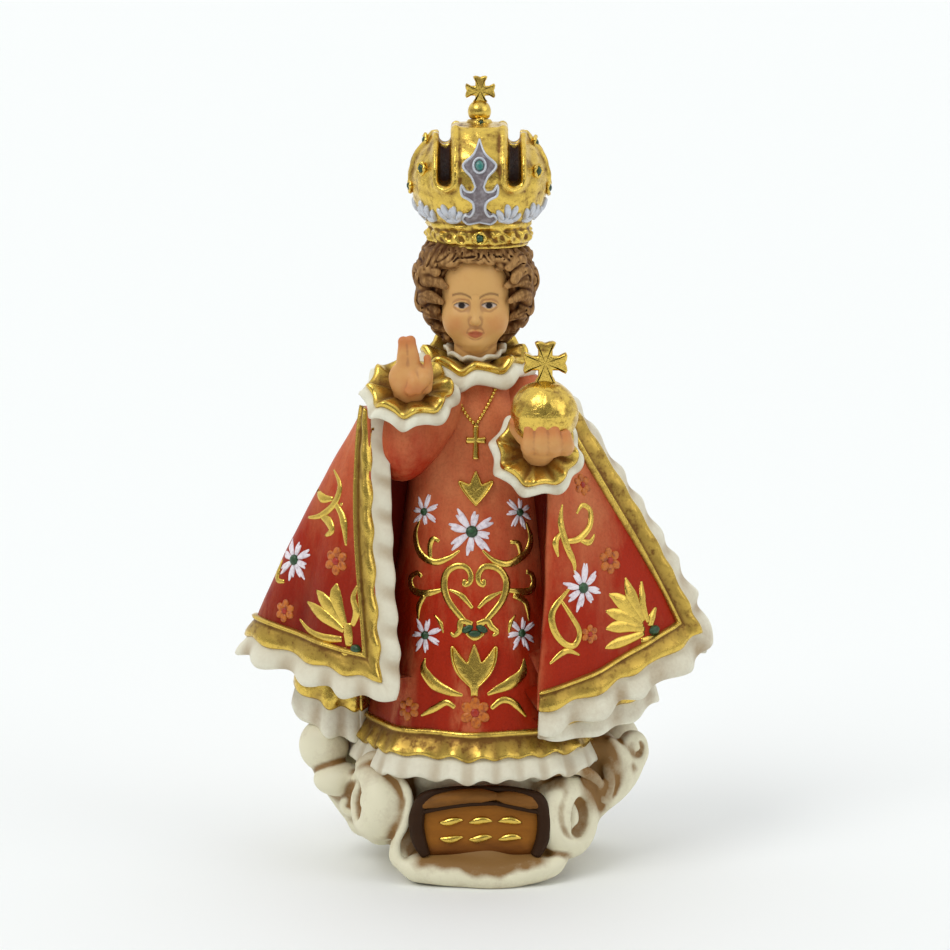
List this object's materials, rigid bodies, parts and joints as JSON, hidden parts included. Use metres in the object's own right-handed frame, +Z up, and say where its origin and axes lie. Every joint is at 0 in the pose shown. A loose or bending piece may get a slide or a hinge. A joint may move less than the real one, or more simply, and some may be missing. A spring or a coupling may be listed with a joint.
{
  "type": "crowned child statuette on a cloud base",
  "caption": "Carved and painted statuette of a crowned child in a tunic and wide cloak, blessing with one hand and holding an orb, on a base of scrolled clouds.",
  "frame": {"origin": "on the flat underside, on the axis of the figure and its crown", "axes": "+Z up through the figure, the front faces -Y, +X is towards the orb"},
  "size_m": [0.1192, 0.0753, 0.2007],
  "materials": {
    "painted_wood": "painted and gilded over a white ground, semi-gloss"
  },
  "bodies": {
    "root": {"statue": "painted_wood"}
  },
  "joints": []
}
